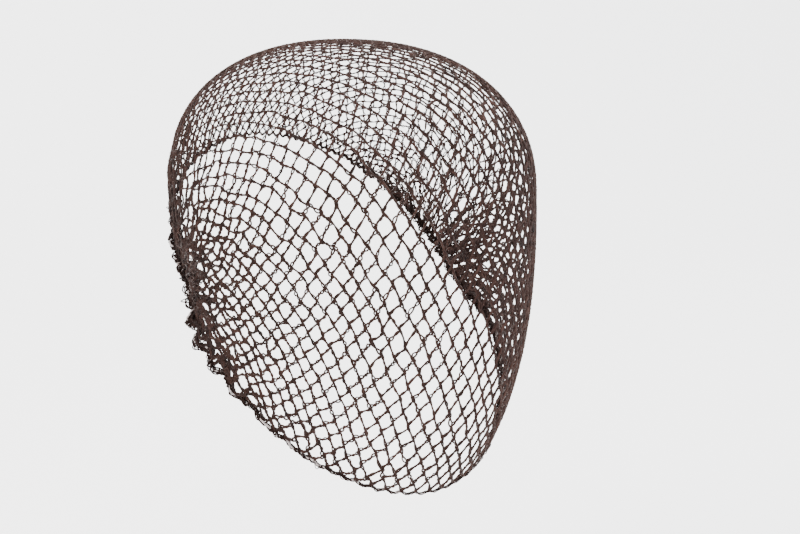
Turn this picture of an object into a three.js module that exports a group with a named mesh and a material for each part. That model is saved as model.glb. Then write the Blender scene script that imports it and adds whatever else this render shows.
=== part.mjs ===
// A worn hairnet: a cap of coarse diamond net, bunched at both sides and gathered on an elastic.
// Millimetres. +Z is up, -Y is the forehead and +X is the wearer's left ear.
// The origin is the inside of the crown's top, where the net rests on the head.
import * as THREE from 'three';

const degree = Math.PI / 180;

// Form that the stretched net takes
const halfBreadth = 77.5;        // ear to ear, halved
const frontLength = 92;          // middle to forehead
const backLength = 96.5;         // middle to the back of the head
const crownHeight = 65;          // widest level up to the crown
const taperDepth = 150;          // widest level down to where the form would close
const planPower = 1.9;           // roundness of a level cut, 2 is an ellipse
const profilePower = 2.28;       // roundness of an upright cut
const napeLean = 0.03;           // backward lean below the widest level

// Mouth and its side gathers
const mouthTilt = 41 * degree;   // forehead side up
const mouthDrop = 47;            // widest level's centre to the elastic's plane, square to it
const gatherSetback = 32;        // gathers lie this far forward of the middle
const gatherRun = 24;            // stretch of the edge that each side gather takes

// Net
const netWall = 1;
const ribWidth = 3.2;
const rows = 8;                  // diamonds from the nape edge over the crown to the forehead edge
const columns = 10;              // diamonds from gather to gather
const columnBunch = 80 * degree; // how strongly the columns narrow at the middle
const fanSteps = 5;              // rings of faces from a gather out to the open net
const pleatHeight = 1.3;
const ruffleHeight = 0.6;

// Hem and elastic
const elasticRadius = 0.7;
const elasticClearance = 0.35;
const hemWall = 0.8;
const hemGap = 0.3;              // clear space between hem and net
const hemSlot = 72 * degree;     // opening along the underside
const hemArcSteps = 5;
const scallops = 32;
const scallopDepth = 0.9;
const stepsPerScallop = 4;
const elasticSteps = 64;
const elasticSides = 6;
const mouthSights = 90;          // points worked out on the mouth's line before it is stepped evenly

// The channel's flats, not its corners, clear the elastic
const hemArcStep = (2 * Math.PI - hemSlot) / hemArcSteps;
const hemInnerRadius = (elasticRadius + elasticClearance) / Math.cos(hemArcStep / 2);
const hemRadius = hemInnerRadius + hemWall;
const formCentre = new THREE.Vector3(0, 0, netWall / 2 - crownHeight);

// Directions of the tilted mouth
const sideways = new THREE.Vector3(1, 0, 0);
const towardNape = new THREE.Vector3(0, Math.cos(mouthTilt), -Math.sin(mouthTilt));
const intoMouth = new THREE.Vector3(0, Math.sin(mouthTilt), Math.cos(mouthTilt));

// The form is where this value is 0: superellipses in plan and in profile, measured from its centre
function formValue(point) {
  const y = point.y + napeLean * Math.min(point.z, 0);
  const endways = y < 0 ? frontLength : backLength;
  const upright = point.z > 0 ? crownHeight : taperDepth;
  const plan = (Math.abs(point.x) / halfBreadth) ** planPower + (Math.abs(y) / endways) ** planPower;
  return plan ** (profilePower / planPower) + (Math.abs(point.z) / upright) ** profilePower - 1;
}

// Point where a ray from inside leaves the form, found by halving
function leaveForm(start, direction) {
  let near = 0;
  let far = frontLength + backLength + taperDepth;
  for (let halving = 0; halving < 40; halving++) {
    const middle = (near + far) / 2;
    if (formValue(start.clone().addScaledVector(direction, middle)) < 0) near = middle;
    else far = middle;
  }
  return start.clone().addScaledVector(direction, near);
}

function formNormal(point) {
  const step = 0.01;
  const slope = ['x', 'y', 'z'].map((axis) => {
    const ahead = point.clone();
    const behind = point.clone();
    ahead[axis] += step;
    behind[axis] -= step;
    return formValue(ahead) - formValue(behind);
  });
  return new THREE.Vector3(...slope).normalize();
}

// Point of a plane parallel to the mouth, on the middle line, at a height below the form's centre
function inMouthPlane(drop, forward) {
  return intoMouth.clone().multiplyScalar(-drop).addScaledVector(towardNape, -forward);
}

// The net's edge lies in a plane of its own, clear of the hem, with the gathers' middle on it
const netDrop = mouthDrop - hemRadius - hemGap;
const gatherForward = (gatherSetback - netDrop * Math.sin(mouthTilt)) / Math.cos(mouthTilt);

// Each row of the net is the cut of the form by a plane through both gathers, and the plane turns
// from the nape edge (row 0) over the crown to the forehead edge
function netPoint(row, column) {
  const rowShare = row / rows;
  const offset = gatherForward + (rowShare - 0.5) * gatherRun;
  const turn = Math.PI * rowShare;
  const alongRow = towardNape.clone().multiplyScalar(Math.cos(turn)).addScaledVector(intoMouth, Math.sin(turn));
  const sideShare = 1 - (2 * column) / columns;
  const bearing = (Math.asin(sideShare * Math.sin(columnBunch)) / columnBunch) * (Math.PI / 2);
  const direction = sideways.clone().multiplyScalar(Math.sin(bearing)).addScaledVector(alongRow, Math.cos(bearing));
  return leaveForm(inMouthPlane(netDrop, offset), direction);
}

// Sheet of vertices named by their row and column, so that neighbours share them
function makeSheet() {
  const index = new Map();
  const places = [];
  const faces = [];
  const vertex = (row, column, lift = 0) => {
    const name = `${row.toFixed(5)},${column.toFixed(5)}`;
    if (!index.has(name)) {
      index.set(name, places.length);
      const point = netPoint(row, column);
      places.push({ point, normal: formNormal(point), lift });
    }
    return index.get(name);
  };
  return { places, faces, vertex };
}

// Closed wall round a sheet: both faces, and a rim along every edge that only one face uses
function wallFromSheet({ places, faces }, wall) {
  const position = [];
  for (const side of [wall / 2, -wall / 2]) {
    for (const { point, normal, lift } of places) {
      position.push(...point.clone().addScaledVector(normal, side + lift).add(formCentre).toArray());
    }
  }
  const inner = places.length;
  const used = new Set(faces.flatMap(([a, b, c]) => [`${a},${b}`, `${b},${c}`, `${c},${a}`]));
  const triangles = [];
  for (const [a, b, c] of faces) {
    triangles.push(a, b, c, inner + a, inner + c, inner + b);
    for (const [from, to] of [[a, b], [b, c], [c, a]]) {
      if (used.has(`${to},${from}`)) continue;
      triangles.push(from, inner + from, to, to, inner + from, inner + to);
    }
  }
  return meshGeometry(position, triangles);
}

function meshGeometry(position, triangles) {
  const geometry = new THREE.BufferGeometry();
  geometry.setAttribute('position', new THREE.Float32BufferAttribute(position, 3));
  geometry.setIndex(triangles);
  geometry.computeVertexNormals();
  return geometry;
}

// Outline of one diamond, from its nape corner round by the right: row and column offsets
const diamondOutline = [[-2, 0], [-1, 1], [0, 2], [1, 1], [2, 0], [1, -1], [0, -2], [-1, -1]]
  .map(([row, column]) => [row / 4, column / 4]);

// Share of a diamond left open when its cords are ribWidth wide
function openShare(row, column) {
  const height = netPoint(row - 0.5, column).distanceTo(netPoint(row + 0.5, column));
  const width = netPoint(row, column - 0.5).distanceTo(netPoint(row, column + 0.5));
  const inscribedRadius = (height * width) / (2 * Math.hypot(height, width));
  return 1 - ribWidth / 2 / inscribedRadius;
}

function addOpenDiamond(sheet, row, column) {
  const share = openShare(row, column);
  const rim = diamondOutline.map(([r, c]) => sheet.vertex(row + r, column + c));
  const hole = diamondOutline.map(([r, c]) => sheet.vertex(row + r * share, column + c * share));
  rim.forEach((corner, i) => {
    const next = (i + 1) % rim.length;
    sheet.faces.push([corner, rim[next], hole[i]], [rim[next], hole[next], hole[i]]);
  });
}

// Half diamond against the hem, with its ruffled base on the edge; inward is +1 at the nape, -1 in front
function addEdgeHalf(sheet, row, column, inward) {
  const base = [-2, -1, 0, 1, 2].map((step) => {
    const ruffle = step % 2 === 0 ? ruffleHeight : -ruffleHeight / 2;
    return sheet.vertex(row, column + step / 4, Math.abs(step) === 2 ? 0 : ruffle);
  });
  const sides = [[1, 1], [2, 0], [1, -1]].map(([r, c]) => sheet.vertex(row + (inward * r) / 4, column + c / 4));
  const ring = [...base, ...sides];
  const centre = sheet.vertex(row + inward * 0.2, column);
  ring.forEach((corner, i) => {
    const next = ring[(i + 1) % ring.length];
    sheet.faces.push(inward > 0 ? [corner, next, centre] : [next, corner, centre]);
  });
}

// Pleated fan from a side gather out to the zigzag edge of the open diamonds
function addFan(sheet, farSide) {
  const grid = [];
  for (let strip = 0; strip <= rows * 4; strip++) {
    const row = strip / 4;
    const reach = 1.5 - Math.abs((row % 1) - 0.5);
    grid.push([]);
    for (let ring = 0; ring <= fanSteps; ring++) {
      const share = ring / fanSteps;
      const column = reach * share;
      const swell = Math.sin(Math.PI * (0.2 + 0.8 * share));
      const fold = strip % 2 === 0 ? -1 : 1;
      const lift = ring === fanSteps ? 0 : fold * pleatHeight * swell;
      grid[strip].push(sheet.vertex(row, farSide ? columns - column : column, lift));
    }
  }
  for (let strip = 0; strip < rows * 4; strip++) {
    for (let ring = 0; ring < fanSteps; ring++) {
      const [a, b] = [grid[strip][ring], grid[strip][ring + 1]];
      const [c, d] = [grid[strip + 1][ring], grid[strip + 1][ring + 1]];
      if (farSide) sheet.faces.push([a, c, b], [b, c, d]);
      else sheet.faces.push([a, b, c], [b, d, c]);
    }
  }
}

function netCap() {
  const sheet = makeSheet();
  addFan(sheet, false);
  addFan(sheet, true);
  for (let column = 1.5; column < columns - 1; column++) {
    addEdgeHalf(sheet, 0, column, 1);
    addEdgeHalf(sheet, rows, column, -1);
    for (let row = 1; row < rows; row++) addOpenDiamond(sheet, row, column);
  }
  for (let column = 2; column < columns - 1; column++) {
    for (let row = 0.5; row < rows; row++) addOpenDiamond(sheet, row, column);
  }
  return wallFromSheet(sheet, netWall);
}

// Elastic's line: the cut of the form by the mouth plane, once round from the nape by the left ear
function mouthLine(steps) {
  const foot = inMouthPlane(mouthDrop, 0);
  const nape = leaveForm(foot, towardNape);
  const forehead = leaveForm(foot, towardNape.clone().negate());
  const middle = nape.add(forehead).divideScalar(2);
  const sights = Array.from({ length: mouthSights }, (_, i) => {
    const bearing = (2 * Math.PI * i) / mouthSights;
    const direction = towardNape.clone().multiplyScalar(Math.cos(bearing))
      .addScaledVector(sideways, Math.sin(bearing));
    return leaveForm(middle, direction);
  });
  return new THREE.CatmullRomCurve3(sights, true).getSpacedPoints(steps).slice(0, steps);
}

// Closed ring with a section that may change on the way; section(i) lists [outward, down] offsets
function ringGeometry(line, section) {
  const position = [];
  const steps = line.length;
  line.forEach((point, i) => {
    const tangent = line[(i + 1) % steps].clone().sub(line[(i + steps - 1) % steps]).normalize();
    const outward = intoMouth.clone().cross(tangent).normalize();
    for (const [out, down] of section(i)) {
      const corner = point.clone().addScaledVector(outward, out).addScaledVector(intoMouth, -down);
      position.push(...corner.add(formCentre).toArray());
    }
  });
  const sides = section(0).length;
  const triangles = [];
  for (let i = 0; i < steps; i++) {
    for (let j = 0; j < sides; j++) {
      const here = i * sides;
      const ahead = ((i + 1) % steps) * sides;
      const next = (j + 1) % sides;
      triangles.push(here + j, here + next, ahead + j, here + next, ahead + next, ahead + j);
    }
  }
  return meshGeometry(position, triangles);
}

// Channel section: an outer arc with its scallop and an inner arc back, open round the underside
function hemSection(step) {
  const swell = (1 + Math.cos((2 * Math.PI * step) / stepsPerScallop)) / 2;
  const outer = [];
  const inner = [];
  for (let i = 0; i <= hemArcSteps; i++) {
    const angle = hemSlot / 2 + hemArcStep * i;
    const outAndDown = Math.max(0, Math.cos(angle - 45 * degree));
    const radius = hemRadius + scallopDepth * swell * outAndDown;
    outer.push([Math.sin(angle) * radius, Math.cos(angle) * radius]);
    inner.unshift([Math.sin(angle) * hemInnerRadius, Math.cos(angle) * hemInnerRadius]);
  }
  return [...outer, ...inner];
}

function elasticSection() {
  return Array.from({ length: elasticSides }, (_, i) => {
    const angle = (2 * Math.PI * i) / elasticSides;
    return [Math.sin(angle) * elasticRadius, Math.cos(angle) * elasticRadius];
  });
}

function namedMesh(name, geometry, color, roughness) {
  const material = new THREE.MeshStandardMaterial({ color, roughness, metalness: 0, side: THREE.DoubleSide });
  const mesh = new THREE.Mesh(geometry, material);
  mesh.name = name;
  return mesh;
}

const hairnet = new THREE.Group();
hairnet.add(
  namedMesh('net_cap', netCap(), 0x3a2520, 0.7),
  namedMesh('gathered_hem', ringGeometry(mouthLine(scallops * stepsPerScallop), hemSection), 0x2e1c18, 0.75),
  namedMesh('elastic_thread', ringGeometry(mouthLine(elasticSteps), elasticSection), 0xb9aca2, 0.5),
);

export default hairnet;
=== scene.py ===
# %% [markdown]
# A hairnet, worn: how a fine knotted net is built from whole arrays of numbers.
# The construction model gives the size and the place of three pieces: the net, its gathered hem and
# the elastic inside the hem. This lesson replaces the net and the hem with real yarn, cord by cord, and
# the elastic with a ribbed cord. Lengths below are in metres, as Blender wants them.

# %% Load the construction model
import math
import bpy
import numpy as np
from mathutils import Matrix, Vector


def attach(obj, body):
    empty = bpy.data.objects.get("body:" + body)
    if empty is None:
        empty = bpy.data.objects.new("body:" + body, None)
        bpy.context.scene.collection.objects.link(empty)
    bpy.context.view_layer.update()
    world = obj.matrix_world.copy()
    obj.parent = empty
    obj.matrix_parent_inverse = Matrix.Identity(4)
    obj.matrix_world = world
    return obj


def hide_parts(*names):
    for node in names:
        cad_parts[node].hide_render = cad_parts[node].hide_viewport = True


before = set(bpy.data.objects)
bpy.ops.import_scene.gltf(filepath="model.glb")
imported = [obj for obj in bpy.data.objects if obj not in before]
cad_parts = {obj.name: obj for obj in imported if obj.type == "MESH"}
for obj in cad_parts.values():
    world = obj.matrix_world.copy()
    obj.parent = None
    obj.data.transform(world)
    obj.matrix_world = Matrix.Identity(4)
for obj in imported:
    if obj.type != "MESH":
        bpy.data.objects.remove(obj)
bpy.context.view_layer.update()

MM = 0.001

# %% [markdown]
# The net is stretched over a rounded form, so every yarn follows one smooth surface.
# A sculpted mesh would do, but then each yarn would have to be projected onto its faces. A formula is
# better: level cuts are superellipses (a little squarer or rounder than an ellipse), the profile is
# another, and the lower half leans back a little. The sizes repeat those of the construction model.

# %% The form that the net takes
HALF_BREADTH = 77.5 * MM
FRONT_LENGTH = 92 * MM
BACK_LENGTH = 96.5 * MM
CROWN_HEIGHT = 65 * MM
TAPER_DEPTH = 150 * MM
PLAN_POWER = 1.9
PROFILE_POWER = 2.28
NAPE_LEAN = 0.03
NET_WALL = 1 * MM
FORM_CENTRE = np.array([0, 0, NET_WALL / 2 - CROWN_HEIGHT])
HALVINGS = 24
SLOPE_STEP = 0.05 * MM


def form_value(points):
    """0 on the form, negative inside: (|x/a|^p + |y/b|^p)^(q/p) + |z/c|^q - 1, with y leaned back."""
    x, y, z = points[..., 0], points[..., 1], points[..., 2]
    y = y + NAPE_LEAN * np.minimum(z, 0)
    endways = np.where(y < 0, FRONT_LENGTH, BACK_LENGTH)
    upright = np.where(z > 0, CROWN_HEIGHT, TAPER_DEPTH)
    plan = (np.abs(x) / HALF_BREADTH) ** PLAN_POWER + (np.abs(y) / endways) ** PLAN_POWER
    return plan ** (PROFILE_POWER / PLAN_POWER) + (np.abs(z) / upright) ** PROFILE_POWER - 1


def leave_form(start, direction):
    """Points where rays from inside leave the form, found by halving the stretch that holds each one."""
    near = np.zeros(direction.shape[:-1])
    far = np.full(near.shape, FRONT_LENGTH + BACK_LENGTH + TAPER_DEPTH)
    for _ in range(HALVINGS):
        middle = (near + far) / 2
        inside = form_value(start + direction * middle[..., None]) < 0
        near = np.where(inside, middle, near)
        far = np.where(inside, far, middle)
    return start + direction * near[..., None]


def unit(vectors):
    """Each vector divided by its own length."""
    return vectors / np.maximum(np.linalg.norm(vectors, axis=-1, keepdims=True), 1e-12)


def form_normal(points):
    """Outward direction: the slope of form_value along x, y and z, by small steps both ways."""
    steps = np.eye(3) * SLOPE_STEP
    slope = [form_value(points + step) - form_value(points - step) for step in steps]
    return unit(np.stack(slope, -1))


print("crown of the form, mm:", round((FORM_CENTRE[2] + CROWN_HEIGHT) / MM, 2))

# %% [markdown]
# The mouth is a tilted plane: high on the forehead, low at the nape. At each side the net is bunched
# on a short stretch of the elastic. A row of diamonds runs from one bunch to the other, so each row is
# the cut of the form by a plane through both bunches, and that plane turns half a circle from the nape
# edge over the crown to the forehead edge. Two numbers then name any place on the net: row and column.
# When the net is pulled on, its cloth is dragged a little along both, more in some places than others.

# %% Rows and columns of the net
MOUTH_TILT = math.radians(41)
MOUTH_DROP = 47 * MM
GATHER_SETBACK = 32 * MM
GATHER_RUN = 24 * MM
RIGHT_RUN_GROWTH = 1.3
ROWS = 34
COLUMNS = 44
COLUMN_BUNCH = math.radians(69)
EDGE_DRAG, EDGE_DRAG_AT_SIDES = 0.64, 0.45
MIDDLE_DRAG, MIDDLE_DRAG_AT_SIDES = 0.38, -0.54
SIDEWAYS_DRAG = 0.75

SIDEWAYS = np.array([1.0, 0, 0])
TOWARD_NAPE = np.array([0, math.cos(MOUTH_TILT), -math.sin(MOUTH_TILT)])
INTO_MOUTH = np.array([0, math.sin(MOUTH_TILT), math.cos(MOUTH_TILT)])
GATHER_FORWARD = (GATHER_SETBACK - MOUTH_DROP * math.sin(MOUTH_TILT)) / math.cos(MOUTH_TILT)


def dragged(row, column):
    """Where the cloth was dragged to: sines that fade out at the edges (rows) and sides (columns)."""
    upward, sideward = math.pi * row / ROWS, math.pi * column / COLUMNS
    side = np.cos(2 * sideward)
    edge_pull = (EDGE_DRAG + EDGE_DRAG_AT_SIDES * side) * np.sin(2 * upward)
    middle_pull = (MIDDLE_DRAG + MIDDLE_DRAG_AT_SIDES * side) * np.sin(upward)
    side_pull = (SIDEWAYS_DRAG + np.cos(sideward)) * np.sin(sideward) * np.sin(upward) ** 2
    return row + edge_pull + middle_pull, column + side_pull


def on_net(row, column, lift=0.0):
    """Places on the net and their outward directions.

    Row r of R lies in a plane through both bunches, turned by r/R of half a circle. Its hinge moves
    forward along the bunches as r grows. Column c of C stands at asin(k (1 - 2c/C)) / b of a quarter
    circle to the side, where b is COLUMN_BUNCH and k its sine. The lift is added along the outward
    direction.
    """
    row, column = dragged(row, column)
    share = np.clip(row / ROWS, 0, 1)
    run = GATHER_RUN * (1 + RIGHT_RUN_GROWTH * np.clip(column / COLUMNS, 0, 1) ** 4)
    forward = GATHER_FORWARD + (share - 0.5) * run
    hinge = -MOUTH_DROP * INTO_MOUTH - forward[..., None] * TOWARD_NAPE
    turn = math.pi * share[..., None]
    along_row = np.cos(turn) * TOWARD_NAPE + np.sin(turn) * INTO_MOUTH
    side_share = np.clip(1 - 2 * column / COLUMNS, -1, 1)
    bearing = np.arcsin(side_share * math.sin(COLUMN_BUNCH)) / COLUMN_BUNCH * math.pi / 2
    bearing = bearing[..., None]
    place = leave_form(hinge, np.sin(bearing) * SIDEWAYS + np.cos(bearing) * along_row)
    outward = form_normal(place)
    lift = np.broadcast_to(lift, share.shape)[..., None]
    return place + outward * lift + FORM_CENTRE, outward


back_middle, _ = on_net(np.array([8.0, 9.0]), np.full(2, COLUMNS / 2))
print("one row at the back, mm:", round(float(np.linalg.norm(back_middle[1] - back_middle[0])) / MM, 2))

# %% [markdown]
# No hand-worn net is regular. Each knot is pushed a little off its place, most in the bunches and
# along the sides of the hem, where the cloth is slack and crumpled. The pushes come from a seeded
# generator, and slow waves made of a few sines lift whole folds off the form. Seeding keeps every run
# the same.

# %% Seeded unevenness
SEED = 20
BUNCH_SLACK_REACH = 6.0
RIGHT_BUNCH_SLACK = 0.6
HEM_SLACK_REACH = 1.3
ROW_PUSH, SLACK_ROW_PUSH = 0.055, 0.30
COLUMN_PUSH, SLACK_COLUMN_PUSH = 0.06, 0.19
random = np.random.default_rng(SEED)


def slow_waves(count, row_pace, column_pace):
    """A smooth uneven field of row and column from about -1 to 1: a sum of sines in random directions."""
    paces = random.normal(0, 1, (2, count)) * np.array([[row_pace], [column_pace]])
    starts = random.uniform(0, 2 * math.pi, count)

    def field(row, column):
        total = sum(np.sin(a * row + b * column + c) for a, b, c in zip(*paces, starts))
        return total / math.sqrt(count)

    return field


def slackness(row, column):
    """How crumpled the net is, 0 to 1: high in the side bunches, and along the hem away from the nape."""
    from_side = np.minimum(column, COLUMNS - column)
    from_edge = np.minimum(row, ROWS - row)
    side_share = np.where(column < COLUMNS / 2, 1, RIGHT_BUNCH_SLACK)
    bunch = np.exp(-((from_side / BUNCH_SLACK_REACH) ** 2)) * side_share
    sideness = np.abs(1 - 2 * column / COLUMNS) ** 1.2
    hem = np.exp(-((from_edge / HEM_SLACK_REACH) ** 2)) * sideness
    return np.clip(bunch + hem, 0, 1)


half_rows, half_columns = 2 * ROWS + 1, 2 * COLUMNS + 1
knot_row, knot_column = np.meshgrid(np.arange(half_rows) / 2, np.arange(half_columns) / 2, indexing="ij")
slack = slackness(knot_row, knot_column)
inner = (knot_row > 0) & (knot_row < ROWS)
push_row = random.normal(0, 1, knot_row.shape) * (ROW_PUSH + SLACK_ROW_PUSH * slack) * inner
push_column = random.normal(0, 1, knot_row.shape) * (COLUMN_PUSH + SLACK_COLUMN_PUSH * slack) * inner
knot_row = knot_row + push_row
knot_column = knot_column + push_column * (knot_column > 0) * (knot_column < COLUMNS)
print("knots:", half_rows * half_columns // 2, "most slack:", round(float(slack.max()), 2))

# %% [markdown]
# How the net is worked: it has no crossing threads. Each cord zigzags between two neighbouring
# columns, from the nape edge to the forehead edge, and is knitted to its left and right neighbours in
# turn. So one cord is one long path with a corner at every half row, and the whole net is one array of
# such paths. Where two cords meet they run side by side for about a millimetre along one of the two
# slants. That makes one slant look like long smooth lines, and the other like separate short rungs.

# %% The middle line of every zigzag cord
CORDS = 2 * COLUMNS
STEPS = 10
SHARED_RUN = 0.045

corner = np.arange(half_rows)
cord = np.arange(CORDS)
leaning = (corner[None, :] + cord[:, None]) % 2
corner_column = cord[:, None] + leaning
corner_row = np.broadcast_to(corner, corner_column.shape)
shift = SHARED_RUN * (1 - 2 * leaning)
at_row = np.clip(knot_row[corner_row, corner_column] + shift, 0, ROWS)
at_column = np.clip(knot_column[corner_row, corner_column] - shift, 0, COLUMNS)
step_share = np.arange(STEPS) / STEPS


def along_sides(corners):
    """Values at every step between one corner and the next: start + (end - start) * share."""
    start, end = corners[:, :-1, None], corners[:, 1:, None]
    steps = start + (end - start) * step_share
    return np.concatenate([steps.reshape(len(corners), -1), corners[:, -1:]], axis=1)


cord_row = along_sides(at_row)
cord_column = along_sides(at_column)
print("cords:", CORDS, "points on each:", cord_row.shape[1])

# %% [markdown]
# Each cord is a thick yarn and a thin one, twisted together. They part two to four times between knots
# and leave small eyelets, widest beside the knots. How wide is drawn afresh for each side of each
# diamond: most sides look like one thick uneven line and some show open eyelets, as on the real thing.
# Over the crown and the forehead the net is stretched tight, so its yarns lie thinner and closer there.

# %% Swing and thickness of the yarns
THICK_YARN = 0.49 * MM
THIN_YARN = 0.42 * MM
YARN_OFFSET = 0.22 * MM
LEAST_OPENING, OPENING_SPREAD = 0.38 * MM, 0.90 * MM
SLACK_OPENING = 1.2
OPENING_BESIDE_KNOTS = 0.15
BOW = 0.26 * MM
SLACK_BOW = 1.3
SLACK_FULLNESS = 0.4
THIN_SHARE, THICK_SHARE = 0.7, -0.3
INWARD_SWING = 0.2 * MM
TIGHT_FROM, TIGHT_TO = 11, 19
TIGHT_THINNING = 0.4
EASED_OVER = 5
sides = (CORDS, half_rows - 1, 1)
smooth_slant = leaning[:, :-1, None]
beats = random.choice([2, 3, 3, 4], sides)
side_slack = slackness(at_row, at_column)[:, :-1, None]
tightness = np.clip((at_row[:, :-1, None] - TIGHT_FROM) / (TIGHT_TO - TIGHT_FROM), 0, 1)
tight = 1 - TIGHT_THINNING * tightness
opening = LEAST_OPENING + OPENING_SPREAD * random.uniform(0, 1, sides) ** 2
opening = opening * (1 + SLACK_OPENING * side_slack) * tight
which_side = random.choice([-1, 1, 1], sides)
bow = random.normal(0, BOW, sides) * (1 + SLACK_BOW * side_slack)
uneven = random.uniform(0.8, 1.25, sides)


def at_steps(values):
    """Values worked out for each side and step, in one row per cord, closed by a last 0."""
    full = np.broadcast_to(values, (CORDS, half_rows - 1, STEPS))
    return np.concatenate([full.reshape(CORDS, -1), np.zeros((CORDS, 1))], axis=1)


def eased(values):
    """Mean of each value and its two neighbours either way along the cord, so that changes are gradual."""
    padded = np.pad(values, ((0, 0), (EASED_OVER // 2, EASED_OVER // 2)), mode="edge")
    return sum(padded[:, i:i + values.shape[1]] for i in range(EASED_OVER)) / EASED_OVER


def even_radius(radius):
    """Eased radii at every step; the three that the closing 0 has touched repeat the one before them."""
    radius = eased(at_steps(radius))
    touched = EASED_OVER // 2 + 1
    radius[:, -touched:] = radius[:, -touched - 1:-touched]
    return radius


beat_wave = np.sin(math.pi * beats * step_share ** uneven)
beat_wave = beat_wave * (1 + OPENING_BESIDE_KNOTS * np.cos(2 * math.pi * step_share))
apart = at_steps(which_side * opening * beat_wave) + eased(at_steps(which_side * YARN_OFFSET))
thin_swing = THIN_SHARE * apart
thick_swing = THICK_SHARE * apart
inward_swing = at_steps(INWARD_SWING * np.cos(math.pi * beats * step_share))
side_bow = at_steps(bow * np.sin(math.pi * step_share))
fuller = (1 + SLACK_FULLNESS * side_slack) * tight
thick_radius = even_radius(THICK_YARN * random.uniform(0.88, 1.12, sides) * fuller)
thin_radius = even_radius(THIN_YARN * random.uniform(0.8, 1.2, sides) * fuller)
print("thick yarn radius, mm:", [round(float(v) / MM, 2) for v in (thick_radius.min(), thick_radius.max())])

# %% [markdown]
# The edge of the net is slack away from the nape. It stands out in small puffs, and between them it is
# drawn up toward the crown. They are set out by the length along the edge, and their phase drifts, so
# no two are quite alike. The bunches are drawn in a few millimetres by the elastic, most on the nape
# side. Low pleats run out from them over the net, and slow waves and a finer crumple lift it off the
# form. All this is one function, so cords, knots and hem agree.

# %% Puffs, pleats and crumples
PUFF_LENGTH = 15 * MM
PUFF_START = 0.5
PUFF_HEIGHT = 2.7 * MM
PUFF_REACH = 1.6
PUFF_DRAW = 0.62
PUFF_WANDER = 0.20
DRIFT_WAVES = 4
SLOWEST_DRIFT, FASTEST_DRIFT = 0.02, 0.09
PUFFS_GROWTH, PUFFS_FROM = 2.1, 0.85
FOREHEAD_SHARE = 0.35
PLEAT_ROWS = 2.6
PLEAT_REACH = 5.0
PLEAT_SHIFT = 0.2
PLEAT_HEIGHT = 0.5 * MM
PLEAT_BEND, PLEAT_BEND_PACE = 0.8, 0.9
FOLD_HEIGHT = 0.8 * MM
CRUMPLE_HEIGHT = 0.6 * MM
SNUG = -0.6 * MM
BUNCH_DRAWN_IN = 6.0 * MM
BUNCH_REACH = 2.0
CROWNWARD_RELIEF = 0.75
SIDE_DRAWN_IN = 1.4 * MM
SIDE_REACH = 6.0
EDGE_POINTS = 801

edge_column = np.linspace(0, COLUMNS, EDGE_POINTS)
edge_place, _ = on_net(np.zeros(EDGE_POINTS), edge_column)
edge_length = np.concatenate([[0], np.cumsum(np.linalg.norm(np.diff(edge_place, axis=0), axis=1))])
drift = [(random.uniform(SLOWEST_DRIFT, FASTEST_DRIFT), random.uniform(0, 6.28)) for _ in range(DRIFT_WAVES)]
slow_fold = slow_waves(7, 1.5, 0.45)
fine_crumple = slow_waves(9, 4.0, 1.6)


def puffed(row, column):
    """Height of the puffs and of the gaps between them, 0 to 1: a wave along the edge that fades inward."""
    length = np.interp(column, edge_column, edge_length) / MM
    phase = PUFF_START + length * MM / PUFF_LENGTH
    phase = phase + sum(PUFF_WANDER * np.sin(pace * length + start) for pace, start in drift)
    nearness = np.exp(-((np.minimum(row, ROWS - row) / PUFF_REACH) ** 2))
    sideness = np.clip(PUFFS_GROWTH * np.abs(1 - 2 * column / COLUMNS) - PUFFS_FROM, 0, 1)
    sideness = sideness * np.where(row < ROWS / 2, 1, FOREHEAD_SHARE)
    wave = 0.5 - 0.5 * np.cos(2 * math.pi * phase)
    return wave * nearness * sideness, (1 - wave) * nearness * sideness


def worn(row, column):
    """Places and outward directions of the worn net: on_net of rows drawn up and pleated, plus the lift."""
    from_side = np.minimum(column, COLUMNS - column)
    pleat_depth = np.exp(-((from_side / PLEAT_REACH) ** 2)) * np.sin(math.pi * row / ROWS)
    pleat_phase = 2 * math.pi * row / PLEAT_ROWS + PLEAT_BEND * np.sin(PLEAT_BEND_PACE * from_side)
    height, gap = puffed(row, column)
    drawn_row = row + PUFF_DRAW * gap * np.sign(ROWS / 2 - row)
    drawn_row = drawn_row + PLEAT_SHIFT * pleat_depth * np.sin(pleat_phase)
    waves = FOLD_HEIGHT * slow_fold(row, column) + CRUMPLE_HEIGHT * fine_crumple(row, column)
    relief = 1 - CROWNWARD_RELIEF * np.clip(row / ROWS, 0, 1)
    lift = SNUG + slackness(row, column) * waves
    lift = lift - BUNCH_DRAWN_IN * np.exp(-((from_side / BUNCH_REACH) ** 2)) * relief
    lift = lift - SIDE_DRAWN_IN * np.exp(-((from_side / SIDE_REACH) ** 2))
    lift = lift + height * PUFF_HEIGHT + pleat_depth * np.cos(pleat_phase) * PLEAT_HEIGHT
    return on_net(drawn_row, column, lift)


middle, outward = worn(cord_row, cord_column)
along = unit(np.gradient(middle, axis=1))
across = unit(np.cross(outward, along))
print("net edge at the nape, mm:", round(edge_length[-1] / MM, 1))
print("cord runs, m:", round(float(np.linalg.norm(np.diff(middle, axis=1), axis=-1).sum()), 1))

# %% [markdown]
# A yarn is a profile carried along a path: at each point stands a small ring, square to the path, and
# neighbouring rings are joined by four-sided faces. All rings of all yarns are worked out in one go.
# A bevelled curve would also do, but thousands of curves are slow, and here the radius may change from
# point to point, which the knots use too.

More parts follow.
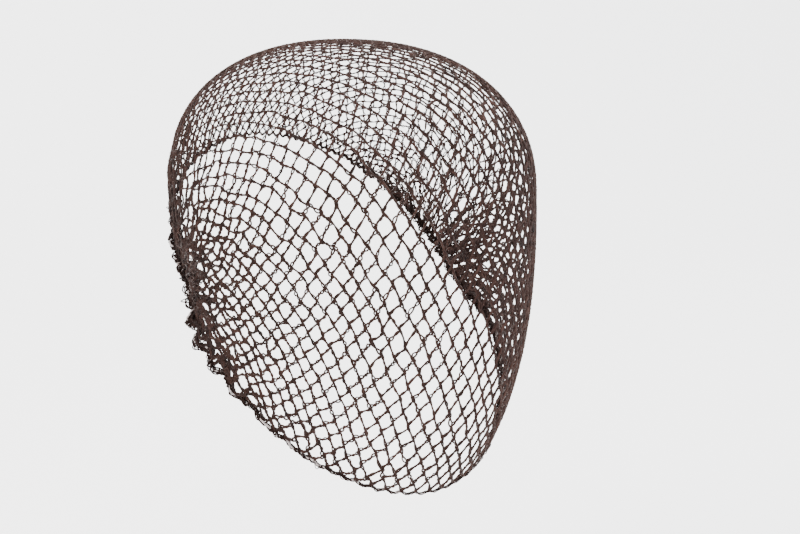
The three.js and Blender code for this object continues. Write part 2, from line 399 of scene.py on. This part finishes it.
# %% One mesh from many carried profiles
def carried(paths, facing, radius, ring_sides, closed=False):
    """Vertices and faces of tubes along n paths of m points: path + r (sin a * aside + cos a * up)."""
    count, steps = paths.shape[:2]
    if closed:
        tangent = unit(np.roll(paths, -1, axis=1) - np.roll(paths, 1, axis=1))
    else:
        tangent = unit(np.gradient(paths, axis=1))
    aside = unit(np.cross(tangent, facing))
    up = np.cross(aside, tangent)
    angle = 2 * math.pi * np.arange(ring_sides) / ring_sides
    spoke = np.sin(angle)[:, None] * aside[:, :, None] + np.cos(angle)[:, None] * up[:, :, None]
    thick = np.broadcast_to(radius, (count, steps))[:, :, None, None]
    points = (paths[:, :, None] + thick * spoke).reshape(-1, 3)
    index = np.arange(count * steps * ring_sides).reshape(count, steps, ring_sides)
    here, ahead = (index, np.roll(index, -1, axis=1)) if closed else (index[:, :-1], index[:, 1:])
    turned = [here, np.roll(here, -1, axis=2), np.roll(ahead, -1, axis=2), ahead]
    faces = np.stack(turned, -1).reshape(-1, 4).tolist()
    if not closed:
        faces += index[:, 0, ::-1].tolist() + index[:, -1].tolist()
    return points, faces


def joined(tubes):
    """One set of points and faces from several: later faces count on from the points before them."""
    points = np.concatenate([part[0] for part in tubes])
    first = np.cumsum([0] + [len(part[0]) for part in tubes])
    faces = []
    for start, part in zip(first, tubes):
        faces += [[start + corner for corner in face] for face in part[1]]
    return points, faces


def new_piece(name, points, faces, tone, material):
    """A smooth-shaded mesh object at the origin, with one shade value per vertex in the attribute tone."""
    mesh = bpy.data.meshes.new(name)
    mesh.from_pydata(points.tolist(), [], faces)
    mesh.attributes.new("tone", "FLOAT", "POINT").data.foreach_set("value", tone.astype(np.float32).ravel())
    mesh.polygons.foreach_set("use_smooth", np.ones(len(faces), bool))
    mesh.materials.append(material)
    mesh.update()
    piece = bpy.data.objects.new(name, mesh)
    bpy.context.collection.objects.link(piece)
    triangles = sum(len(face) - 2 for face in faces)
    print(name, "triangles:", triangles)
    return piece


# %% [markdown]
# The yarn is dark brown nylon. Close by it is not one colour: filaments catch the light, and worn or
# thin stretches look redder. Noise on the object's own coordinates mixes two browns, and the tone
# attribute shifts whole stretches; in the slack bunches and along the slack hem it darkens them as
# painted shade. A fine noise drives the bump of the filaments. Sheen gives the soft rim that fibres
# have. The hem's yarn is duller, because it lies packed, and its darker browns are painted shade of
# the packed yarn. The elastic is paler and smoother.

# %% Yarn and elastic finishes
NET_DARK, NET_LIGHT = (0.005, 0.0022, 0.0018), (0.032, 0.0145, 0.011)
# The hem's browns are darker than the net's: painted shade of the yarn packed in the hem.
HEM_SHADED_DARK, HEM_SHADED_LIGHT = (0.003, 0.0014, 0.0011), (0.017, 0.008, 0.006)
ELASTIC_GREY, ELASTIC_PALE = (0.07, 0.055, 0.052), (0.36, 0.32, 0.315)


def shader_of(name):
    """A new material and its principled shader."""
    material = bpy.data.materials.new(name)
    material.use_nodes = True
    return material, material.node_tree.nodes["Principled BSDF"]


def noise(tree, scale, detail):
    """A noise texture on object coordinates."""
    place = tree.nodes.new("ShaderNodeTexCoord")
    texture = tree.nodes.new("ShaderNodeTexNoise")
    texture.inputs["Scale"].default_value = scale
    texture.inputs["Detail"].default_value = detail
    tree.links.new(place.outputs["Object"], texture.inputs["Vector"])
    return texture


def two_tones(tree, shader, source, dark, light, dark_up_to, light_from):
    """Base colour from a ramp: dark below one value of the source, light above another."""
    ramp = tree.nodes.new("ShaderNodeValToRGB")
    ends = ramp.color_ramp.elements
    ends[0].position = dark_up_to
    ends[0].color = (*dark, 1)
    ends[1].position = light_from
    ends[1].color = (*light, 1)
    tree.links.new(source, ramp.inputs["Fac"])
    tree.links.new(ramp.outputs["Color"], shader.inputs["Base Color"])


def raised(tree, shader, source, strength, distance):
    """A bump driven by the source."""
    bump = tree.nodes.new("ShaderNodeBump")
    bump.inputs["Strength"].default_value = strength
    bump.inputs["Distance"].default_value = distance
    tree.links.new(source, bump.inputs["Height"])
    tree.links.new(bump.outputs["Normal"], shader.inputs["Normal"])


def yarn_finish(name, dark, light, roughness, gloss):
    """Two browns mixed by 0.6 of a noise plus the tone attribute, with a fine filament bump."""
    material, shader = shader_of(name)
    tree = material.node_tree
    patches = noise(tree, 220, 3)
    tone = tree.nodes.new("ShaderNodeAttribute")
    tone.attribute_name = "tone"
    share = tree.nodes.new("ShaderNodeMath")
    share.operation = "MULTIPLY_ADD"
    share.inputs[1].default_value = 0.6
    tree.links.new(patches.outputs["Fac"], share.inputs[0])
    tree.links.new(tone.outputs["Fac"], share.inputs[2])
    two_tones(tree, shader, share.outputs["Value"], dark, light, 0.15, 0.95)
    filaments = noise(tree, 5200, 2)
    raised(tree, shader, filaments.outputs["Fac"], 0.5, 0.05 * MM)
    shader.inputs["Roughness"].default_value = roughness
    shader.inputs["Specular IOR Level"].default_value = gloss
    shader.inputs["Sheen Weight"].default_value = 0.05
    shader.inputs["Sheen Roughness"].default_value = 0.45
    shader.inputs["Sheen Tint"].default_value = (0.6, 0.36, 0.28, 1)
    return material


def elastic_look(name):
    """Pale covered rubber: two greys mixed by noise, a fine woven bump and a low gloss."""
    material, shader = shader_of(name)
    tree = material.node_tree
    cover = noise(tree, 900, 4).outputs["Fac"]
    two_tones(tree, shader, cover, ELASTIC_GREY, ELASTIC_PALE, 0.35, 0.65)
    raised(tree, shader, cover, 0.6, 0.04 * MM)
    shader.inputs["Roughness"].default_value = 0.35
    shader.inputs["Coat Weight"].default_value = 0.25
    shader.inputs["Coat Roughness"].default_value = 0.3
    return material


net_finish = yarn_finish("brown_net_yarn", NET_DARK, NET_LIGHT, 0.55, 0.09)
hem_finish = yarn_finish("packed_hem_yarn_shaded", HEM_SHADED_DARK, HEM_SHADED_LIGHT, 0.65, 0.05)
elastic_finish = elastic_look("pale_elastic")
print("finishes:", [m.name for m in (net_finish, hem_finish, elastic_finish)])

# %% [markdown]
# The net itself: a thick and a thin yarn to a cord. The net is kept in four strips from side to side,
# because a mesh of much more than a hundred thousand faces is slow to handle.

# %% Net yarns in four strips
YARN_SIDES = 3
THICK_INWARD_SHARE = -0.4
YARN_TONE, TONE_SPREAD = 0.26, 0.12
SMOOTH_SLANT_TONE = -0.06
# Slack stretches get a lower tone, so darker browns: painted shade of the crumpled bunches and hem.
SLACK_PAINTED_SHADE = -0.3
THIN_YARN_TONE = 0.08
STRIPS = ["net_left_side", "net_left_middle", "net_right_middle", "net_right_side"]

thick_inward = THICK_INWARD_SHARE * inward_swing
thick_yarn = middle + across * (side_bow + thick_swing)[..., None] + outward * thick_inward[..., None]
thin_yarn = middle + across * (side_bow + thin_swing)[..., None] + outward * inward_swing[..., None]
side_tone_and_shade = random.normal(YARN_TONE, TONE_SPREAD, sides)
side_tone_and_shade = at_steps(side_tone_and_shade + SMOOTH_SLANT_TONE * smooth_slant + SLACK_PAINTED_SHADE * side_slack)
strips = []
for i, name in enumerate(STRIPS):
    part = slice(i * CORDS // 4, (i + 1) * CORDS // 4)
    thick = carried(thick_yarn[part], outward[part], thick_radius[part], YARN_SIDES)
    thin = carried(thin_yarn[part], outward[part], thin_radius[part], YARN_SIDES)
    thick_tone_and_shade = np.repeat(side_tone_and_shade[part], YARN_SIDES)
    points, faces = joined([thick, thin])
    tone = np.concatenate([thick_tone_and_shade, thick_tone_and_shade + THIN_YARN_TONE])
    strips.append(new_piece(name, points, faces, tone, net_finish))

# %% [markdown]
# Knots. Where two cords run side by side they are knitted together, which shows as a small dark lump
# along the smooth slant. A lump is the same carried profile again: a short straight path of five
# points whose radius swells and shrinks.

# %% Knots where the cords meet
KNOT_SIDES = 4
KNOT_LENGTH = 2.2 * MM
KNOT_SWELL = np.array([0.28, 0.46, 0.52, 0.44, 0.26]) * MM
KNOT_THINNING = 0.8 * TIGHT_THINNING
SLANT_STEP = 0.05
KNOT_TONE, KNOT_TONE_SPREAD = 0.05, 0.08

meeting = (leaning.T == 0) & (corner[:, None] > 0) & (corner[:, None] < half_rows - 1)
knot_row_index, knot_column_index = np.nonzero(meeting)
lump_row = knot_row[knot_row_index, knot_column_index]
lump_column = knot_column[knot_row_index, knot_column_index]
lump_place, lump_outward = worn(lump_row, lump_column)
ahead_place, _ = worn(lump_row + SLANT_STEP, lump_column - SLANT_STEP)
lump_run = unit(ahead_place - lump_place)
lump_size = random.uniform(0.75, 1.25, (len(lump_place), 1))
on_tight_part = lump_row > (TIGHT_FROM + TIGHT_TO) / 2
lump_size = lump_size * (1 - KNOT_THINNING * on_tight_part)[:, None]
reach = np.linspace(-0.5, 0.5, len(KNOT_SWELL)) * KNOT_LENGTH
lump_paths = lump_place[:, None] + lump_run[:, None] * (reach * lump_size)[..., None]
lump_facing = np.repeat(lump_outward[:, None], len(reach), axis=1)
points, faces = carried(lump_paths, lump_facing, KNOT_SWELL * lump_size, KNOT_SIDES)
tone = np.repeat(random.normal(KNOT_TONE, KNOT_TONE_SPREAD, len(lump_paths)), len(reach) * KNOT_SIDES)
net_knots = new_piece("net_knots", points, faces, tone, net_finish)
print("knots made:", len(lump_paths))

# %% [markdown]
# The hem. The net's edge is drawn up on a thin elastic and overcast with yarn. At the nape it is
# stretched and thin, and swings out between one column of knots and the next in shallow scallops.
# Toward the sides it is slack, and packs into small dark puffs. Its line is found on the net itself:
# the four edges of the grid of rows and columns, one after the other, make the closed line of the hem.

# %% The line of the hem, from the net's own edges
HEM_STEPS = 1280
EDGE_RUN_POINTS = 1200
SCALLOP_DEPTH = 1.3 * MM
SCALLOP_FADE = 0.6
RUFFLE_DROP = 0.8 * MM
RUFFLE_OUT = 0.6 * MM
SLACK_GROWTH, SLACK_FROM = 1.4, 0.15
FOREHEAD_SLACK = 0.55
RIGHT_SLACK = 0.65
HEM_BUNCH_REACH = 3


def edge_run(row_start, row_end, column_start, column_end):
    """Places and outward directions along one edge of the net, with the row and the column at each."""
    row = np.linspace(row_start, row_end, EDGE_RUN_POINTS, endpoint=False)
    column = np.linspace(column_start, column_end, EDGE_RUN_POINTS, endpoint=False)
    place, facing = worn(row, column)
    return np.column_stack([place, facing, row, column])


edge = np.concatenate([
    edge_run(0, 0, 0, COLUMNS),
    edge_run(0, ROWS, COLUMNS, COLUMNS),
    edge_run(ROWS, ROWS, COLUMNS, 0),
    edge_run(ROWS, 0, 0, 0),
])
stride = np.linalg.norm(np.diff(edge[:, :3], axis=0, append=edge[:1, :3]), axis=1)
length = np.concatenate([[0], np.cumsum(stride)])
wanted = np.linspace(0, length[-1], HEM_STEPS, endpoint=False)
edge = np.concatenate([edge, edge[:1]])
hem = np.stack([np.interp(wanted, length, values) for values in edge.T], -1)
hem_place, hem_outward, hem_row, hem_column = hem[:, :3], unit(hem[:, 3:6]), hem[:, 6], hem[:, 7]
hem_along = unit(np.roll(hem_place, -1, axis=0) - np.roll(hem_place, 1, axis=0))
hem_down = unit(np.cross(hem_outward, hem_along))
hem_down = hem_down * -np.sign(hem_down @ INTO_MOUTH)[:, None]
slackening = np.clip(SLACK_GROWTH * np.abs(1 - 2 * hem_column / COLUMNS) - SLACK_FROM, 0, 1)
slackening = slackening * np.interp(hem_row / ROWS, [0, 0.6, 1], [1, 1, FOREHEAD_SLACK])
slackening = slackening * np.interp(hem_column / COLUMNS, [0, 0.5, 1], [1, 1, RIGHT_SLACK])
bunching = np.exp(-((np.minimum(hem_column, COLUMNS - hem_column) / HEM_BUNCH_REACH) ** 2))
print("hem runs, mm:", round(length[-1] / MM, 1))

# %% [markdown]
# The hem's yarns are of two kinds. Some coil round the edge, others run along it in loose waves. Coils
# and waves grow where the hem is slack, and once more in the bunches. They close on themselves after
# one turn round the mouth, because they are sines of whole numbers of beats.

# %% Yarns of the hem
COILED_YARNS = 5
WAVY_YARNS = 6
HEM_YARN_SIDES = 4
HEM_YARN_RADIUS = 0.28 * MM
COIL_TURNS = 130
COIL_WANDER = 1.1
COIL_SWELL = 0.45
TIGHT_COIL, SLACK_COIL, BUNCHED_COIL = 0.42 * MM, 0.85 * MM, 1.0 * MM
LEAST_COIL = 0.3 * MM
TIGHT_WAVE, SLACK_WAVE, BUNCHED_WAVE = 0.25 * MM, 0.95 * MM, 1.1 * MM
HEM_TONE, HEM_TONE_SPREAD = 0.08, 0.1
round_trip = 2 * math.pi * np.arange(HEM_STEPS) / HEM_STEPS


def closed_waves(count, low, high, rows=1):
    """Smooth closed noise about 0, one row for each yarn: sines of whole beats from low to high."""
    whole = random.integers(low, high, (rows, count, 1))
    phase = random.uniform(0, 2 * math.pi, (rows, count, 1))
    return np.sin(whole * round_trip + phase).sum(axis=1) / math.sqrt(count)


scallop = np.sin(math.pi * hem_column) ** 2 * SCALLOP_DEPTH * (1 - SCALLOP_FADE * slackening)
ruffle_down = closed_waves(8, 25, 75)[0] * RUFFLE_DROP * slackening
ruffle_out = closed_waves(8, 25, 75)[0] * RUFFLE_OUT * slackening
hem_middle = hem_place + hem_down * (scallop + ruffle_down)[:, None] + hem_outward * ruffle_out[:, None]

coil_start = 2 * math.pi * np.arange(COILED_YARNS)[:, None] / COILED_YARNS
coil_turn = COIL_TURNS * round_trip + coil_start + COIL_WANDER * closed_waves(6, 20, 90, COILED_YARNS)
coil_swell = 1 + COIL_SWELL * closed_waves(7, 25, 110, COILED_YARNS)
coil_size = TIGHT_COIL + (SLACK_COIL + BUNCHED_COIL * bunching) * slackening * coil_swell
coil_size = np.maximum(coil_size, LEAST_COIL)
coil_facing = np.cos(coil_turn)[..., None] * hem_outward + np.sin(coil_turn)[..., None] * hem_down
coil_paths = hem_middle + coil_facing * coil_size[..., None]

wave_reach = TIGHT_WAVE + (SLACK_WAVE + BUNCHED_WAVE * bunching) * slackening
wave_down = closed_waves(9, 20, 150, WAVY_YARNS) * wave_reach
wave_out = closed_waves(9, 20, 150, WAVY_YARNS) * wave_reach
wave_paths = hem_middle + hem_down * wave_down[..., None] + hem_outward * wave_out[..., None]
wave_facing = np.broadcast_to(hem_outward, wave_paths.shape)

paths = np.concatenate([coil_paths, wave_paths])
facing = np.concatenate([coil_facing, wave_facing])
points, faces = carried(paths, facing, HEM_YARN_RADIUS, HEM_YARN_SIDES, closed=True)
tone = HEM_TONE + HEM_TONE_SPREAD * closed_waves(8, 20, 200, len(paths))
tone = np.repeat(tone, HEM_YARN_SIDES, axis=1)
hem_wraps = new_piece("hem_wraps", points, faces, tone, hem_finish)

# %% [markdown]
# Loose loops. Where the hem is slack, single loops of yarn stand out from it, most at the bunches.
# Each leaves the hem, turns and comes back: half a turn of an ellipse, leaning along the hem. The
# chance of a place grows with the square of the slackening and with the bunching, so the nape has
# almost none.

# %% Loose loops along the hem
LOOPS = 420
LOOP_POINTS = 11
LOOP_SIDES = 3
LOOP_RADIUS = 0.2 * MM
LOOP_OVERRUN = 0.15
UNBUNCHED_CHANCE = 0.35
LOOP_TONE, LOOP_TONE_SPREAD = 0.12, 0.08

chance = slackening ** 2 * (UNBUNCHED_CHANCE + bunching)
loop_start = random.choice(HEM_STEPS, LOOPS, p=chance / chance.sum())
half_turn = np.linspace(-LOOP_OVERRUN, 1 + LOOP_OVERRUN, LOOP_POINTS) * math.pi
loop_width = random.uniform(0.5, 1.4, (LOOPS, 1)) * MM
loop_rise = random.uniform(0.9, 2.6, (LOOPS, 1)) * MM
lean = random.uniform(-0.6, 0.6, (LOOPS, 1))
heading = random.uniform(-2.2, 2.2, (LOOPS, 1, 1))
start_middle, start_along = hem_middle[loop_start][:, None], hem_along[loop_start][:, None]
start_down, start_outward = hem_down[loop_start][:, None], hem_outward[loop_start][:, None]
away = np.cos(heading) * start_down + np.sin(heading) * start_outward
rising = np.sin(half_turn) * loop_rise
sideways = -np.cos(half_turn) * loop_width + lean * rising
loop_paths = start_middle + start_along * sideways[..., None] + away * rising[..., None]
loop_facing = np.broadcast_to(unit(np.cross(start_along, away)), loop_paths.shape)
points, faces = carried(loop_paths, loop_facing, LOOP_RADIUS, LOOP_SIDES)
tone = np.repeat(random.normal(LOOP_TONE, LOOP_TONE_SPREAD, LOOPS), LOOP_POINTS * LOOP_SIDES)
hem_loops = new_piece("hem_loops", points, faces, tone, hem_finish)

# %% [markdown]
# The elastic in the hem is a thin pale cord. It shows only as glints between the coils, where it swings
# out toward them in the slack stretches. A ribbed round profile carried along that line is enough.

# %% The elastic cord
ELASTIC_SIDES = 8
ELASTIC_RADIUS = 0.45 * MM
RIBS = 320
RIB_HEIGHT = 0.05 * MM
ELASTIC_SWING = 1.6 * MM
BUNCHED_SWING = 0.9

core_radius = ELASTIC_RADIUS + RIB_HEIGHT * np.sin(round_trip * RIBS)
swing_wave = np.clip(closed_waves(6, 20, 60)[0], 0, 1.2)
core_swing = ELASTIC_SWING * slackening * (1 + BUNCHED_SWING * bunching) * swing_wave
core_path = hem_middle + unit(hem_outward - hem_down) * core_swing[:, None]
points, faces = carried(core_path[None], hem_outward[None], core_radius, ELASTIC_SIDES, closed=True)
tone = np.zeros((HEM_STEPS, ELASTIC_SIDES))
elastic_core = new_piece("elastic_core", points, faces, tone, elastic_finish)

# %% [markdown]
# Each piece is tied to the construction model: it is parented to the body that it moves with, and the
# construction part that it stands for is hidden. The net strips are cloth, stretched over the form.
# That size is a guess. The area, in square metres, counts the yarn alone, because the net is open. It
# was set to suit the yarns modelled here, so that the test of a cloth's area passes.

# %% Tie the pieces to the construction model
for piece in strips + [net_knots]:
    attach(piece, "root")
    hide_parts("net_cap")
for piece in (hem_wraps, hem_loops):
    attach(piece, "root")
    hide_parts("gathered_hem")
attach(elastic_core, "root")
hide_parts("elastic_thread")

# %% [markdown]
# The stage is one white sweep: a floor that curves up into a backdrop, so no line shows behind the
# net. It is a profile of a flat run, a quarter circle and an upright, carried straight sideways.

# %% White sweep
SWEEP_HALF_WIDTH = 3.0
FLOOR_HEIGHT = -0.30
FLOOR_START, FLOOR_END = 2.5, -0.9
BEND = 0.8
SWEEP_TOP = 3.2

bend = np.linspace(0, math.pi / 2, 33)
run = np.concatenate([[FLOOR_START], FLOOR_END - BEND * np.sin(bend), [FLOOR_END - BEND]])
rise = np.concatenate([[0], BEND * (1 - np.cos(bend)), [SWEEP_TOP]]) + FLOOR_HEIGHT
points = np.array([(x, y, z) for y, z in zip(run, rise) for x in (-SWEEP_HALF_WIDTH, SWEEP_HALF_WIDTH)])
low = np.arange(len(run) - 1) * 2
faces = np.stack([low, low + 1, low + 3, low + 2], -1).tolist()
sweep_finish, shader = shader_of("white_sweep")
shader.inputs["Base Color"].default_value = (0.93, 0.93, 0.93, 1)
shader.inputs["Roughness"].default_value = 0.9
sweep = new_piece("white_sweep", points, faces, np.zeros(len(points)), sweep_finish)

# %% [markdown]
# Light is soft and comes from all round, as in a white photo tent: a pale world and three large area
# lights. The camera stands where the photo was taken from, 30 degrees round from the back toward the
# left and 8 degrees up, and looks a little beside the form's middle to frame it as the photo does.

# %% Soft light
WORLD_STRENGTH = 3.2
world = bpy.data.worlds.new("pale_tent")
world.use_nodes = True
background = world.node_tree.nodes["Background"]
background.inputs["Color"].default_value = (1, 1, 1, 1)
background.inputs["Strength"].default_value = WORLD_STRENGTH
bpy.context.scene.world = world


def stand(name, data, place, target):
    """A light or camera put at its place. It looks along its own -Z, so that is turned to the target."""
    holder = bpy.data.objects.new(name, data)
    bpy.context.collection.objects.link(holder)
    holder.location = place
    holder.rotation_euler = Vector(target - np.array(place)).to_track_quat("-Z", "Y").to_euler()
    return holder


def area_light(name, place, size, power, colour):
    """A square light that looks at the middle of the form."""
    light = bpy.data.lights.new(name, "AREA")
    light.size = size
    light.energy = power
    light.color = colour
    stand(name, light, place, FORM_CENTRE)


area_light("warm_side_light", (2.0, 0.9, 1.2), 1.4, 75, (1, 0.88, 0.80))
area_light("cool_side_light", (-1.8, 1.2, 0.9), 1.8, 60, (0.82, 0.91, 1))
area_light("top_light", (0.0, -0.3, 2.0), 1.8, 50, (1, 1, 1))
print("lights:", [light.name for light in bpy.data.lights])

# %% Camera at the photo's angle
CAMERA_DISTANCE = 0.9
TURN_FROM_BACK = math.radians(30)
CAMERA_RISE = math.radians(8)
LENS = 92.4
SENSOR_WIDTH = 36
AIM_RIGHT = 22.8 * MM
AIM_DOWN = 34.6 * MM

flat_reach = math.cos(CAMERA_RISE)
toward_camera = np.array([
    math.sin(TURN_FROM_BACK) * flat_reach,
    math.cos(TURN_FROM_BACK) * flat_reach,
    math.sin(CAMERA_RISE),
])
camera_right = np.array([-math.cos(TURN_FROM_BACK), math.sin(TURN_FROM_BACK), 0])
camera_up = np.cross(toward_camera, camera_right)
camera_place = FORM_CENTRE + toward_camera * CAMERA_DISTANCE
aim_point = FORM_CENTRE + camera_right * AIM_RIGHT - camera_up * AIM_DOWN

lens = bpy.data.cameras.new("photo_camera")
lens.lens = LENS
lens.sensor_width = SENSOR_WIDTH
camera = stand("photo_camera", lens, camera_place, aim_point)
bpy.context.scene.camera = camera
print("camera at, mm:", [round(float(v) / MM) for v in camera_place])
